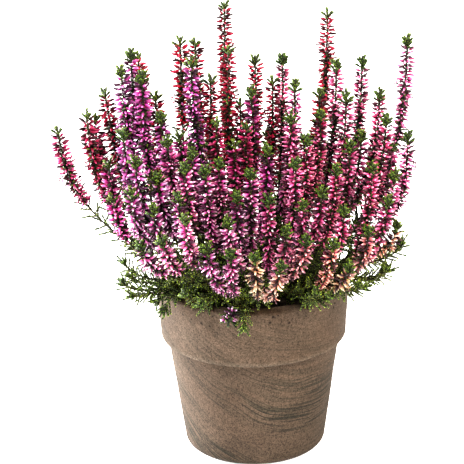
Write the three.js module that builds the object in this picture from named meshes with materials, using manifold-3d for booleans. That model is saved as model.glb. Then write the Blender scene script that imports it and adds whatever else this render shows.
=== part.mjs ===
// A potted heather: a stoneware-brown clay pot with a deep collar, its soil, and three varieties of bud heather
// that stand in the soil. Millimetres, +Z up, origin at the middle of the pot's flat foot.
import * as THREE from "three";
import { mergeVertices } from "three/addons/utils/BufferGeometryUtils.js";
import Module from "manifold-3d";

// ---- Driving dimensions ----
const POT_HEIGHT = 139;
const RIM_RADIUS = 75;
const RIM_WALL = 12;
const COLLAR_HEIGHT = 46;
const COLLAR_FOOT_RADIUS = 72.2;
const BODY_TOP_RADIUS = 67.2;
const FOOT_RADIUS = 55;
const FOOT_ROUND = 7.5;
const FLOOR_THICKNESS = 11;
const INNER_FOOT_RADIUS = 45;
const POT_SEGMENTS = 36;
const DRAIN_RADIUS = 5;
const DRAIN_CIRCLE = 24;
const DRAIN_COUNT = 3;

const SOIL_TOP = 128;
const CLEARANCE = 0.3;
const SEAT_DEPTH = 14; // how deep a stem stands in the soil
const STEM_RISE = 8; // how high a stem has come straight out of the soil when it starts to lean
const STEM_RADIUS = 1.3;
const SIDE_STEM_RADIUS = 1.15;
const SEAT_RADIUS = 2.9; // of the plain hole that a stem stands in, at its corners
const SEAT_SIDES = 5;
const BASE_CIRCLE = 45; // the stems come out of the soil within this radius
const BASE_SPACING = 9;

const BUD_REACH = 6.2; // from a spike's axis to the buds' ends
const BUD_CORE = 2.5; // from a spike's axis to the hollows between buds
const BUD_PITCH = 10.6; // along the spike, for one turn of buds
const BUD_LIFT = 1.4; // how far a bud's end stands above its root
const TIP_LENGTH = 13; // the green end of a spike
const TIP_REACH = 2.6;
const BLOOM_SHARE = 0.62; // of a shoot's height above the soil that is in bud
const BLOOM_MOST = 105;
const STEM_STEP = 27; // along a bare stem, for one turn of its skin
const SEAT_STEP = 15; // the same in the soil
const LEAF_REACH = 2.9;
const LEAF_CORE = 1.1;
const LEAF_PITCH = 11.5;
const SIDES = 5; // corners in one turn of a skin; odd, so that high and low corners alternate all round

const AXIS_POINTS = 24;
const HELD_POINTS = 2; // of an axis that stay where its root is
const FORK_POINT = 5; // the point of a leader's axis where its side shoots leave it
const KIN_APART_FROM = 12; // the point of an axis from which shoots of one stem stay clear of each other
// Shoots run outward first and then turn up, more sharply towards +X.
const OUTWARD_POWER = 2.4;
const OUTWARD_PER_MILLIMETRE = 0.005;
const RIM_CROSSING_HEIGHT = POT_HEIGHT + 6;
const SETTLE_ROUNDS = 90;
const AIR = 1.35; // between neighbouring shoots
const REACH_WITH_KIN = 44; // shoots of one variety this close may share a stem
const SCRAP_VOLUME = 5;
const SHORTEST_EDGE = 0.05; // that joining may leave
const SNAP = 0.02;
const SEED = 71;

// ---- Where the shoots end: variety, then x, y and z of the tip. The front half is set out by hand. ----
const FRONT_TIPS = [
  ["crimson", -146, -22, 273], ["crimson", -124, -12, 281], ["crimson", -118, 8, 271], ["crimson", -111, 12, 291],
  ["violet", -97, -8, 316], ["violet", -90, 8, 324], ["crimson", -85, 24, 316], ["violet", -81, -14, 313],
  ["crimson", -72, 10, 288], ["violet", -63, -34, 269], ["crimson", -52, 16, 330], ["crimson", -41, 34, 323],
  ["violet", -44, -4, 321], ["crimson", -55, -8, 261], ["crimson", -18, 36, 352], ["crimson", -15, 12, 323],
  ["crimson", -29, 10, 300], ["crimson", 5, 24, 311], ["violet", 1, -10, 298], ["crimson", -10, 14, 279],
  ["rose", 26, 22, 313], ["crimson", 18, 2, 302], ["rose", 35, -8, 302], ["crimson", 61, 30, 346],
  ["rose", 67, 10, 312], ["rose", 87, 22, 310], ["rose", 74, -6, 292], ["rose", 100, 8, 288],
  ["rose", 121, 8, 331], ["rose", 85, -4, 259], ["rose", 120, -24, 265], ["rose", 43, -30, 266],
  ["rose", 31, -24, 282], ["crimson", -25, -20, 276], ["violet", -34, -60, 254], ["violet", -44, -44, 262],
  ["rose", 106, -6, 250], ["violet", -50, -62, 257], ["violet", -55, -76, 239], ["violet", -49, -92, 228],
  ["violet", -24, -50, 256], ["violet", 0, -56, 249], ["violet", 13, -42, 263], ["rose", 34, -54, 256],
  ["rose", 13, -72, 235], ["rose", 39, -76, 231], ["violet", -67, -88, 210], ["violet", -16, -104, 204],
  ["rose", 2, -106, 202], ["rose", 41, -92, 209], ["violet", -96, -38, 276], ["violet", -87, -54, 260],
  ["violet", -90, -62, 238], ["crimson", -105, -46, 226], ["rose", 103, -50, 223], ["rose", 92, -40, 247],
  ["rose", 110, -30, 236], ["rose", 53, -64, 237], ["violet", -74, -72, 228], ["violet", -11, -72, 237],
  ["rose", 26, -90, 216], ["rose", 65, -44, 247], ["rose", 70, -66, 222], ["rose", 88, -66, 206],
  ["rose", 61, -88, 204], ["violet", -84, -70, 199], ["rose", 21, -112, 197], ["rose", 73, -84, 184],
  ["violet", -34, -100, 208], ["violet", -18, -88, 223], ["rose", 54, -12, 279], ["violet", -71, -52, 247],
  ["crimson", -12, -30, 262], ["crimson", -2, -16, 272], ["crimson", -108, -28, 248], ["rose", 76, -24, 259],
  ["rose", 111, -40, 198], ["violet", -68, -12, 280], ["rose", 104, -14, 276],
  ["crimson", 54, 2, 291],
];

// The back half follows the sunflower rule, and falls away from the crown.
const BACK = { spacing: 13.6, reach: 114, from: 16, clear: 16, top: 246, fall: 0.42, scatter: 15, crimsonShare: 0.45 };

// Leafy shoots without buds, over the rim: tips in front by hand, and the rest evenly round the back.
const FRONT_LEAF_TIPS = [
  [-97, -34, 160], [-98, -50, 150], [-74, -52, 133], [-46, -78, 152], [-14, -92, 134],
  [53, -80, 156], [84, -54, 151], [104, -34, 157], [116, 10, 160],
];
const BACK_LEAF = { count: 4, reach: 98, height: 158, firstAngle: 30, step: 40 };
const LEAF_FORK = 13; // how far apart a leafy shoot's two ends are

// ---- Helpers ----
const wasm = await Module();
wasm.setup();

function seededRandom(seed) {
  let state = seed >>> 0;
  return () => {
    state = (Math.imul(state, 1664525) + 1013904223) >>> 0;
    return state / 4294967296;
  };
}

function toSolid(geometry) {
  const bare = geometry.clone();
  bare.deleteAttribute("normal");
  bare.deleteAttribute("uv");
  const merged = mergeVertices(bare, 1e-3);
  return new wasm.Manifold(
    new wasm.Mesh({
      numProp: 3,
      vertProperties: merged.attributes.position.array,
      triVerts: new Uint32Array(merged.index.array),
    }),
  );
}

function toGeometry(solid) {
  const mesh = solid.getMesh();
  const geometry = new THREE.BufferGeometry();
  const positions = new Float32Array(mesh.numVert * 3);
  for (let v = 0; v < mesh.numVert; v++) {
    for (let axis = 0; axis < 3; axis++) positions[v * 3 + axis] = mesh.vertProperties[v * mesh.numProp + axis];
  }
  geometry.setAttribute("position", new THREE.BufferAttribute(positions, 3));
  geometry.setIndex(Array.from(mesh.triVerts));
  return geometry;
}

// Moves each vertex to a fine grid, so that slivers left by joining close up.
function snapped(geometry) {
  const positions = geometry.attributes.position.array;
  for (let i = 0; i < positions.length; i++) positions[i] = Math.round(positions[i] / SNAP) * SNAP;
  return geometry;
}

function turned(profile, segments) {
  const points = profile.map(([radius, height]) => new THREE.Vector2(radius, height));
  return new THREE.LatheGeometry(points, segments).rotateX(Math.PI / 2);
}

function corner(radius, centreR, centreZ, from, to, steps) {
  return Array.from({ length: steps + 1 }, (_, i) => {
    const angle = THREE.MathUtils.degToRad(from + ((to - from) * i) / steps);
    return [centreR + radius * Math.cos(angle), centreZ + radius * Math.sin(angle)];
  });
}

// ---- Pot ----
const RIM_INNER_RADIUS = RIM_RADIUS - RIM_WALL;
const innerRadiusAt = (z) =>
  INNER_FOOT_RADIUS + ((RIM_INNER_RADIUS - INNER_FOOT_RADIUS) * (z - FLOOR_THICKNESS)) / (POT_HEIGHT - FLOOR_THICKNESS);

function potSolid() {
  const rimRound = 2.5;
  const lipChamfer = 1.2;
  const collarFoot = POT_HEIGHT - COLLAR_HEIGHT;
  const profile = [
    [0, 0],
    ...corner(FOOT_ROUND, FOOT_RADIUS - FOOT_ROUND, FOOT_ROUND, -90, 0, 4),
    [BODY_TOP_RADIUS, collarFoot],
    [COLLAR_FOOT_RADIUS - lipChamfer, collarFoot],
    [COLLAR_FOOT_RADIUS, collarFoot + lipChamfer],
    ...corner(rimRound, RIM_RADIUS - rimRound, POT_HEIGHT - rimRound, 0, 90, 3),
    ...corner(rimRound, RIM_INNER_RADIUS + rimRound, POT_HEIGHT - rimRound, 90, 180, 2),
    [INNER_FOOT_RADIUS, FLOOR_THICKNESS],
    [0, FLOOR_THICKNESS],
  ];
  let pot = toSolid(turned(profile, POT_SEGMENTS));
  for (let i = 0; i < DRAIN_COUNT; i++) {
    const angle = (2 * Math.PI * i) / DRAIN_COUNT;
    const hole = new THREE.CylinderGeometry(DRAIN_RADIUS, DRAIN_RADIUS, 3 * FLOOR_THICKNESS, 12).rotateX(Math.PI / 2);
    hole.translate(DRAIN_CIRCLE * Math.cos(angle), DRAIN_CIRCLE * Math.sin(angle), 0);
    pot = pot.subtract(toSolid(hole));
  }
  return pot;
}

// ---- Layout of the shoots ----
function backTips(random) {
  const tips = [];
  const goldenAngle = Math.PI * (3 - Math.sqrt(5));
  for (let n = 0; BACK.spacing * Math.sqrt(n + 0.5) < BACK.reach; n++) {
    const radius = BACK.spacing * Math.sqrt(n + 0.5);
    const x = radius * Math.cos(n * goldenAngle);
    const y = radius * Math.sin(n * goldenAngle);
    const lift = random() * BACK.scatter;
    const pick = random();
    const crowded = FRONT_TIPS.some(([, tipX, tipY]) => Math.hypot(tipX - x, tipY - y) < BACK.clear);
    if (y < BACK.from || crowded) continue;
    const side = x < 0 ? "violet" : "rose";
    tips.push([pick < BACK.crimsonShare ? "crimson" : side, x, y, BACK.top - BACK.fall * y + lift]);
  }
  return tips;
}

function leafTips() {
  const back = Array.from({ length: BACK_LEAF.count }, (_, i) => {
    const angle = THREE.MathUtils.degToRad(BACK_LEAF.firstAngle + BACK_LEAF.step * i);
    return [BACK_LEAF.reach * Math.cos(angle), BACK_LEAF.reach * Math.sin(angle), BACK_LEAF.height];
  });
  return [...FRONT_LEAF_TIPS, ...back];
}

// Shoots of one variety that stand close together share a stem: the first is its leader.
function gatherSprays(tips) {
  const free = tips.map(() => true);
  const sprays = [];
  tips.forEach(([variety, x, y], leader) => {
    if (!free[leader]) return;
    free[leader] = false;
    const kin = tips
      .map(([otherVariety, otherX, otherY], i) => ({ i, otherVariety, away: Math.hypot(otherX - x, otherY - y) }))
      .filter(({ i, otherVariety, away }) => free[i] && otherVariety === variety && away < REACH_WITH_KIN)
      .sort((a, b) => a.away - b.away)
      .slice(0, 2);
    kin.forEach(({ i }) => (free[i] = false));
    sprays.push({ variety, tips: [leader, ...kin.map(({ i }) => i)].map((i) => tips[i].slice(1)) });
  });
  return sprays;
}

function addLeafySprays(sprays) {
  for (const [x, y, z] of leafTips()) {
    const angle = Math.atan2(y, x) + Math.PI / 2;
    const half = LEAF_FORK / 2;
    sprays.push({
      variety: "leafy",
      tips: [
        [x + half * Math.cos(angle), y + half * Math.sin(angle), z],
        [x - half * Math.cos(angle), y - half * Math.sin(angle), z + half],
      ],
    });
  }
}

// The stems' places in the soil: towards their tips, and then pushed apart.
function settleBases(sprays) {
  for (const spray of sprays) {
    const x = spray.tips.reduce((sum, tip) => sum + tip[0], 0) / spray.tips.length;
    const y = spray.tips.reduce((sum, tip) => sum + tip[1], 0) / spray.tips.length;
    const radius = Math.min(BASE_CIRCLE, 0.4 * Math.hypot(x, y));
    const angle = Math.atan2(y, x);
    spray.base = [radius * Math.cos(angle), radius * Math.sin(angle)];
  }
  for (let round = 0; round < 200; round++) {
    for (let i = 0; i < sprays.length; i++) {
      for (let j = i + 1; j < sprays.length; j++) {
        const a = sprays[i].base;
        const b = sprays[j].base;
        const dx = a[0] - b[0];
        const dy = a[1] - b[1];
        const away = Math.hypot(dx, dy);
        if (away >= BASE_SPACING) continue;
        const push = (0.5 * (BASE_SPACING - away)) / Math.max(away, 0.01);
        a[0] += dx * push;
        a[1] += dy * push;
        b[0] -= dx * push;
        b[1] -= dy * push;
      }
    }
    for (const { base } of sprays) {
      const out = Math.hypot(base[0], base[1]) / BASE_CIRCLE;
      if (out > 1) {
        base[0] /= out;
        base[1] /= out;
      }
    }
  }
}

function axisTo(root, start, tip) {
  const points = [[...root], [...start]];
  const power = OUTWARD_POWER + OUTWARD_PER_MILLIMETRE * Math.max(tip[0], 0);
  for (let k = HELD_POINTS; k < AXIS_POINTS; k++) {
    const s = (k - HELD_POINTS + 1) / (AXIS_POINTS - HELD_POINTS);
    const outward = 1 - (1 - s) ** power;
    points.push([
      start[0] + (tip[0] - start[0]) * outward,
      start[1] + (tip[1] - start[1]) * outward,
      start[2] + (tip[2] - start[2]) * s,
    ]);
  }
  return points;
}

function lengthsAlong(points) {
  const lengths = [0];
  for (let k = 1; k < points.length; k++) {
    const [a, b] = [points[k - 1], points[k]];
    lengths.push(lengths[k - 1] + Math.hypot(b[0] - a[0], b[1] - a[1], b[2] - a[2]));
  }
  return lengths;
}

const bloomLength = (length, tipHeight) =>
  Math.min(BLOOM_MOST, BLOOM_SHARE * (tipHeight - SOIL_TOP), 0.85 * length - TIP_LENGTH);

// The room that a shoot takes up at each point of its axis.
function roomAlong(shoot) {
  const lengths = lengthsAlong(shoot.points);
  const whole = lengths[AXIS_POINTS - 1];
  const bloomFoot = whole - TIP_LENGTH - bloomLength(whole, shoot.points[AXIS_POINTS - 1][2]);
  return lengths.map((at) => {
    if (shoot.leafy) return LEAF_REACH;
    if (at < bloomFoot - 4) return STEM_RADIUS + 0.4;
    return at < whole - TIP_LENGTH + 2 ? BUD_REACH : TIP_REACH;
  });
}

function makeShoots(sprays) {
  const shoots = [];
  sprays.forEach((spray, sprayIndex) => {
    spray.shoots = spray.tips.map((tip, rank) => {
      const leader = rank ? spray.leader : null;
      const root = leader ? leader.points[FORK_POINT - 1] : [...spray.base, SOIL_TOP - SEAT_DEPTH + CLEARANCE];
      const start = leader ? leader.points[FORK_POINT] : [...spray.base, SOIL_TOP + STEM_RISE];
      const shoot = { points: axisTo(root, start, tip), leader, sprayIndex, leafy: spray.variety === "leafy" };
      if (!leader) spray.leader = shoot;
      shoots.push(shoot);
      return shoot;
    });
  });
  return shoots;
}

// Bends the shoots clear of each other and of the pot's rim, keeping each one smooth.
function bendClear(shoots) {
  for (let round = 0; round < SETTLE_ROUNDS; round++) {
    const moves = shoots.map(() => Array.from({ length: AXIS_POINTS }, () => [0, 0]));
    shoots.forEach((shoot) => (shoot.room = roomAlong(shoot)));
    for (let i = 0; i < shoots.length; i++) {
      for (let j = i + 1; j < shoots.length; j++) {
        const kin = shoots[i].sprayIndex === shoots[j].sprayIndex;
        const from = kin ? KIN_APART_FROM : HELD_POINTS;
        for (let k = from; k < AXIS_POINTS; k++) {
          const a = shoots[i].points[k];
          for (let m = from; m < AXIS_POINTS; m++) {
            const b = shoots[j].points[m];
            const need = shoots[i].room[k] + shoots[j].room[m] + AIR;
            const dz = a[2] - b[2];
            if (Math.abs(dz) >= need) continue;
            const dx = a[0] - b[0];
            const dy = a[1] - b[1];
            const away = Math.sqrt(dx * dx + dy * dy + dz * dz);
            if (away >= need) continue;
            const level = Math.max(Math.sqrt(dx * dx + dy * dy), 0.05);
            const push = (0.3 * (need - away)) / level;
            moves[i][k][0] += dx * push;
            moves[i][k][1] += dy * push;
            moves[j][m][0] -= dx * push;
            moves[j][m][1] -= dy * push;
          }
        }
      }
    }
    shoots.forEach((shoot, i) => moveShoot(shoot, moves[i]));
  }
}

function moveShoot(shoot, moves) {
  const held = HELD_POINTS;
  for (let k = held; k < AXIS_POINTS; k++) {
    const before = moves[Math.max(k - 1, held)];
    const after = moves[Math.min(k + 1, AXIS_POINTS - 1)];
    for (let axis = 0; axis < 2; axis++) {
      const smooth = 0.25 * before[axis] + 0.5 * moves[k][axis] + 0.25 * after[axis];
      shoot.points[k][axis] += THREE.MathUtils.clamp(smooth, -1.2, 1.2);
    }
  }
  if (shoot.leader) {
    shoot.points[0] = [...shoot.leader.points[FORK_POINT - 1]];
    shoot.points[1] = [...shoot.leader.points[FORK_POINT]];
  }
  for (let k = held; k < AXIS_POINTS; k++) {
    const point = shoot.points[k];
    const out = Math.hypot(point[0], point[1]);
    if (out > RIM_INNER_RADIUS - 8 && out < RIM_RADIUS + 7 && point[2] < RIM_CROSSING_HEIGHT) {
      if (out < RIM_RADIUS + 2 || point[2] > POT_HEIGHT - 3) point[2] += 0.5 * (RIM_CROSSING_HEIGHT - point[2]);
    }
  }
  // A light stiffness keeps kinks out of the axis.
  for (let k = held + 1; k < AXIS_POINTS - 1; k++) {
    const [a, p, b] = [shoot.points[k - 1], shoot.points[k], shoot.points[k + 1]];
    for (let axis = 0; axis < 3; axis++) p[axis] += 0.12 * (0.5 * (a[axis] + b[axis]) - p[axis]);
  }
}

function layOut() {
  const sprays = gatherSprays([...FRONT_TIPS, ...backTips(seededRandom(SEED))]);
  addLeafySprays(sprays);
  settleBases(sprays);
  const shoots = makeShoots(sprays);
  bendClear(shoots);
  return sprays;
}

// ---- Skins: one closed surface wound round a shoot's axis, with every second corner raised as a bud or leaf ----
function pointAlong(points, lengths, at) {
  let k = 1;
  while (k < points.length - 1 && lengths[k] < at) k++;
  const t = THREE.MathUtils.clamp((at - lengths[k - 1]) / (lengths[k] - lengths[k - 1]), 0, 1);
  const [a, b] = [points[k - 1], points[k]];
  return new THREE.Vector3().fromArray(a).lerp(new THREE.Vector3().fromArray(b), t);
}

function skinStations(shoot) {
  const lengths = lengthsAlong(shoot.points);
  const whole = lengths[AXIS_POINTS - 1];
  const bloom = bloomLength(whole, shoot.points[AXIS_POINTS - 1][2]);
  const bloomFoot = whole - TIP_LENGTH - bloom;
  const bareLength = shoot.leafy ? (shoot.leader ? 2 : SEAT_DEPTH + STEM_RISE) : bloomFoot;
  const stations = [];
  let at = 0;
  for (let n = 0; at < whole - 1; n++) {
    const high = n % 2 === 1;
    const bare = at < bareLength;
    const inTip = !shoot.leafy && at > whole - TIP_LENGTH;
    const along = (at - bloomFoot) / bloom;
    const swell = 0.78 + 0.22 * Math.sin(Math.PI * Math.min(Math.max(along, 0), 1) ** 0.8);
    let radius = high ? BUD_REACH * swell : BUD_CORE;
    if (inTip) radius = high ? TIP_REACH : LEAF_CORE;
    if (shoot.leafy) radius = high ? LEAF_REACH : LEAF_CORE;
    if (bare) radius = shoot.leader ? SIDE_STEM_RADIUS : STEM_RADIUS;
    const lift = high && !bare ? BUD_LIFT : 0;
    stations.push({ at: Math.min(at + lift, whole), radius });
    const pitch = shoot.leafy ? LEAF_PITCH : BUD_PITCH;
    const seated = !shoot.leader && at < SEAT_DEPTH + STEM_RISE;
    if (seated) at += SEAT_STEP / SIDES;
    else at += (bare ? STEM_STEP : pitch) / SIDES;
  }
  return { stations, lengths, whole };
}

function shootSkin(shoot) {
  const { stations, lengths, whole } = skinStations(shoot);
  const first = shoot.points[0];
  const last = shoot.points[AXIS_POINTS - 1];
  const sideways = new THREE.Vector3(-(last[1] - first[1]), last[0] - first[0], 0);
  if (sideways.length() < 0.01) sideways.set(0, 1, 0);
  sideways.normalize();
  const vertices = [];
  stations.forEach(({ at, radius }, n) => {
    const middle = pointAlong(shoot.points, lengths, at);
    const ahead = pointAlong(shoot.points, lengths, Math.min(at + 4, whole));
    const behind = pointAlong(shoot.points, lengths, Math.max(at - 4, 0));
    const along = ahead.sub(behind).normalize();
    const across = sideways.clone().addScaledVector(along, -sideways.dot(along)).normalize();
    const third = along.clone().cross(across);
    const angle = (2 * Math.PI * n) / SIDES;
    middle.addScaledVector(across, radius * Math.cos(angle)).addScaledVector(third, radius * Math.sin(angle));
    vertices.push(...middle.toArray());
  });
  const count = stations.length;
  vertices.push(...first, ...last);
  const [footCentre, tipPoint] = [count, count + 1];
  const faces = [];
  for (let n = 0; n + SIDES + 1 < count; n++) {
    const [a, b, c, d] = [n, n + 1, n + SIDES + 1, n + SIDES];
    if (n % 2 === 0) faces.push(a, b, c, a, c, d);
    else faces.push(a, b, d, b, c, d);
  }
  for (let n = 0; n < SIDES; n++) faces.push(footCentre, n + 1, n);
  faces.push(footCentre, 0, SIDES);
  for (let n = count - SIDES - 1; n < count - 1; n++) faces.push(tipPoint, n, n + 1);
  faces.push(tipPoint, count - 1, count - SIDES - 1);
  const geometry = new THREE.BufferGeometry();
  geometry.setAttribute("position", new THREE.BufferAttribute(new Float32Array(vertices), 3));
  geometry.setIndex(faces);
  return geometry;
}

// A hollow that joining seals is filled, and a loose scrap that it leaves is dropped.
function spraySolid(spray) {
  const joined = spray.shoots.map((shoot) => toSolid(shootSkin(shoot))).reduce((whole, next) => whole.add(next));
  const welded = toSolid(snapped(toGeometry(joined.simplify(SHORTEST_EDGE)))).simplify(SHORTEST_EDGE);
  const bodies = welded.decompose().filter((body) => body.volume() > SCRAP_VOLUME);
  return bodies.reduce((whole, next) => whole.add(next));
}

// ---- Soil, with a plain hole for each stem ----
function soilSolid(sprays) {
  const foot = FLOOR_THICKNESS + CLEARANCE;
  const profile = [
    [0, foot],
    [innerRadiusAt(foot) - CLEARANCE, foot],
    [innerRadiusAt(SOIL_TOP) - CLEARANCE, SOIL_TOP],
    [0, SOIL_TOP],
  ];
  let soil = toSolid(turned(profile, POT_SEGMENTS));
  for (const { base } of sprays) {
    const hole = new THREE.CylinderGeometry(SEAT_RADIUS, SEAT_RADIUS, 2 * SEAT_DEPTH, SEAT_SIDES).rotateX(Math.PI / 2);
    hole.translate(base[0], base[1], SOIL_TOP);
    soil = soil.subtract(toSolid(hole));
  }
  return soil;
}

// ---- The assembly ----
const FINISHES = {
  pot: new THREE.MeshStandardMaterial({ color: 0x86705c, roughness: 0.9, metalness: 0 }),
  soil: new THREE.MeshStandardMaterial({ color: 0x2a2019, roughness: 1, metalness: 0 }),
  violet: new THREE.MeshStandardMaterial({ color: 0xa5388c, roughness: 0.6, metalness: 0 }),
  crimson: new THREE.MeshStandardMaterial({ color: 0xa82448, roughness: 0.6, metalness: 0 }),
  rose: new THREE.MeshStandardMaterial({ color: 0xcf5587, roughness: 0.6, metalness: 0 }),
  leafy: new THREE.MeshStandardMaterial({ color: 0x4a5a2b, roughness: 0.7, metalness: 0 }),
};

const heather = new THREE.Group();

function addNode(name, solid, finish) {
  const mesh = new THREE.Mesh(toGeometry(solid), FINISHES[finish]);
  mesh.name = name;
  heather.add(mesh);
}

const sprays = layOut();
addNode("pot", potSolid(), "pot");
addNode("soil", soilSolid(sprays), "soil");
const counts = {};
for (const spray of sprays) {
  counts[spray.variety] = (counts[spray.variety] ?? 0) + 1;
  const kind = spray.variety === "leafy" ? "leafy_shoot" : `${spray.variety}_spray`;
  addNode(`${kind}_${String(counts[spray.variety]).padStart(2, "0")}`, spraySolid(spray), spray.variety);
}

export default heather;
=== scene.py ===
"""A potted heather: fine buds, leafy twigs, soil and a clay pot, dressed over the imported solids."""

import math

import bpy
import numpy as np
from mathutils import Matrix, Vector, noise


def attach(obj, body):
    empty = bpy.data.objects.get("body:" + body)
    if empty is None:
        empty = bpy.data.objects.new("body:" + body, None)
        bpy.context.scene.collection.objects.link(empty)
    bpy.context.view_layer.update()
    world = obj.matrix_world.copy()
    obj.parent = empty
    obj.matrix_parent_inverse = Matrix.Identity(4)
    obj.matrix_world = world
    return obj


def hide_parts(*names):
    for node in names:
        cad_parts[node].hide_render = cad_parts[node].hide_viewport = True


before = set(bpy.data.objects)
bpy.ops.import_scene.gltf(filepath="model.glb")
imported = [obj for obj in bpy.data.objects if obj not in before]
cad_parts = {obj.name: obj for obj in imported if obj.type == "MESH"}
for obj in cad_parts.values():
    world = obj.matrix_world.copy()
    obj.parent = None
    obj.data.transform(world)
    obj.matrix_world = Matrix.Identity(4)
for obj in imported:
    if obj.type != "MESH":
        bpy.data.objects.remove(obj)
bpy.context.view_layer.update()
MM = 0.001

# ---- The pot and its soil, in millimetres, as in the solids ----
POT_HEIGHT = 139
RIM_RADIUS = 75
RIM_WALL = 12
COLLAR_HEIGHT = 46
COLLAR_FOOT_RADIUS = 72.2
BODY_TOP_RADIUS = 67.2
FOOT_RADIUS = 55
FOOT_ROUND = 7.5
FLOOR_THICKNESS = 11
INNER_FOOT_RADIUS = 45
DRAIN_RADIUS = 5
DRAIN_CIRCLE = 24
DRAIN_COUNT = 3
SOIL_TOP = 128
CLEARANCE = 0.3

# ---- The shoots' layout, in millimetres, as in the solids ----
SEAT_DEPTH = 14
STEM_RISE = 8
STEM_RADIUS = 1.3
BASE_CIRCLE = 45
BASE_SPACING = 9
BASE_TOWARDS_TIP = 0.4
BASE_ROUNDS = 200
NEAREST_BASES = 0.01
BUD_REACH = 6.2
TIP_LENGTH = 13
TIP_REACH = 2.6
BLOOM_SHARE = 0.62
BLOOM_MOST = 105
BLOOM_SHARE_OF_AXIS = 0.85
BUDS_INTO_TIP = 2
BUDS_UNDER_BLOOM = 4
STEM_ROOM = STEM_RADIUS + 0.4
LEAF_REACH = 2.9
AXIS_POINTS = 24
HELD_POINTS = 2
FORK_POINT = 5
KIN_APART_FROM = 12
OUTWARD_POWER = 2.4
OUTWARD_PER_MILLIMETRE = 0.005
RIM_CROSSING_HEIGHT = POT_HEIGHT + 6
RIM_ZONE_INSIDE = RIM_RADIUS - RIM_WALL - 8
RIM_ZONE_OUTSIDE = RIM_RADIUS + 7
RIM_TOP_OUTSIDE = RIM_RADIUS + 2
RIM_SIDE_TOP = POT_HEIGHT - 3
LIFT_SHARE = 0.5
SETTLE_ROUNDS = 90
AIR = 1.35
PAIRS_MARGIN = 6
PUSH_SHARE = 0.3
LEAST_LEVEL = 0.05
MOVE_MOST = 1.2
STIFFNESS = 0.12
REACH_WITH_KIN = 44
KIN_MOST = 2
SEED = 71

FRONT_TIPS = [
    ("crimson", -146, -22, 273), ("crimson", -124, -12, 281), ("crimson", -118, 8, 271),
    ("crimson", -111, 12, 291), ("violet", -97, -8, 316), ("violet", -90, 8, 324),
    ("crimson", -85, 24, 316), ("violet", -81, -14, 313), ("crimson", -72, 10, 288),
    ("violet", -63, -34, 269), ("crimson", -52, 16, 330), ("crimson", -41, 34, 323),
    ("violet", -44, -4, 321), ("crimson", -55, -8, 261), ("crimson", -18, 36, 352),
    ("crimson", -15, 12, 323), ("crimson", -29, 10, 300), ("crimson", 5, 24, 311),
    ("violet", 1, -10, 298), ("crimson", -10, 14, 279), ("rose", 26, 22, 313),
    ("crimson", 18, 2, 302), ("rose", 35, -8, 302), ("crimson", 61, 30, 346),
    ("rose", 67, 10, 312), ("rose", 87, 22, 310), ("rose", 74, -6, 292),
    ("rose", 100, 8, 288), ("rose", 121, 8, 331), ("rose", 85, -4, 259),
    ("rose", 120, -24, 265), ("rose", 43, -30, 266), ("rose", 31, -24, 282),
    ("crimson", -25, -20, 276), ("violet", -34, -60, 254), ("violet", -44, -44, 262),
    ("rose", 106, -6, 250), ("violet", -50, -62, 257), ("violet", -55, -76, 239),
    ("violet", -49, -92, 228), ("violet", -24, -50, 256), ("violet", 0, -56, 249),
    ("violet", 13, -42, 263), ("rose", 34, -54, 256), ("rose", 13, -72, 235),
    ("rose", 39, -76, 231), ("violet", -67, -88, 210), ("violet", -16, -104, 204),
    ("rose", 2, -106, 202), ("rose", 41, -92, 209), ("violet", -96, -38, 276),
    ("violet", -87, -54, 260), ("violet", -90, -62, 238), ("crimson", -105, -46, 226),
    ("rose", 103, -50, 223), ("rose", 92, -40, 247), ("rose", 110, -30, 236),
    ("rose", 53, -64, 237), ("violet", -74, -72, 228), ("violet", -11, -72, 237),
    ("rose", 26, -90, 216), ("rose", 65, -44, 247), ("rose", 70, -66, 222),
    ("rose", 88, -66, 206), ("rose", 61, -88, 204), ("violet", -84, -70, 199),
    ("rose", 21, -112, 197), ("rose", 73, -84, 184), ("violet", -34, -100, 208),
    ("violet", -18, -88, 223), ("rose", 54, -12, 279), ("violet", -71, -52, 247),
    ("crimson", -12, -30, 262), ("crimson", -2, -16, 272), ("crimson", -108, -28, 248),
    ("rose", 76, -24, 259), ("rose", 111, -40, 198), ("violet", -68, -12, 280),
    ("rose", 104, -14, 276), ("crimson", 54, 2, 291),
]
BACK_SPACING = 13.6
BACK_REACH = 114
BACK_FROM = 16
BACK_CLEAR = 16
BACK_TOP = 246
BACK_FALL = 0.42
BACK_SCATTER = 15
BACK_CRIMSON_SHARE = 0.45
FRONT_LEAF_TIPS = [
    (-97, -34, 160), (-98, -50, 150), (-74, -52, 133), (-46, -78, 152), (-14, -92, 134),
    (53, -80, 156), (84, -54, 151), (104, -34, 157), (116, 10, 160),
]
BACK_LEAF_COUNT = 4
BACK_LEAF_REACH = 98
BACK_LEAF_HEIGHT = 158
BACK_LEAF_FIRST = 30
BACK_LEAF_STEP = 40
LEAF_FORK = 13


def seeded_random(seed):
    """The same run of numbers as the solids use."""
    state = seed
    while True:
        state = (state * 1664525 + 1013904223) % 2**32
        yield state / 2**32


def back_tips():
    """The tips at the back: on a spiral, where no front tip is near, and lower further back."""
    draws = seeded_random(SEED)
    golden_angle = math.pi * (3 - math.sqrt(5))
    tips = []
    n = 0
    while BACK_SPACING * math.sqrt(n + 0.5) < BACK_REACH:
        radius = BACK_SPACING * math.sqrt(n + 0.5)
        x = radius * math.cos(n * golden_angle)
        y = radius * math.sin(n * golden_angle)
        lift = next(draws) * BACK_SCATTER
        pick = next(draws)
        crowded = any(math.hypot(tip[1] - x, tip[2] - y) < BACK_CLEAR for tip in FRONT_TIPS)
        if y >= BACK_FROM and not crowded:
            side = "violet" if x < 0 else "rose"
            variety = "crimson" if pick < BACK_CRIMSON_SHARE else side
            tips.append((variety, x, y, BACK_TOP - BACK_FALL * y + lift))
        n += 1
    return tips


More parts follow.
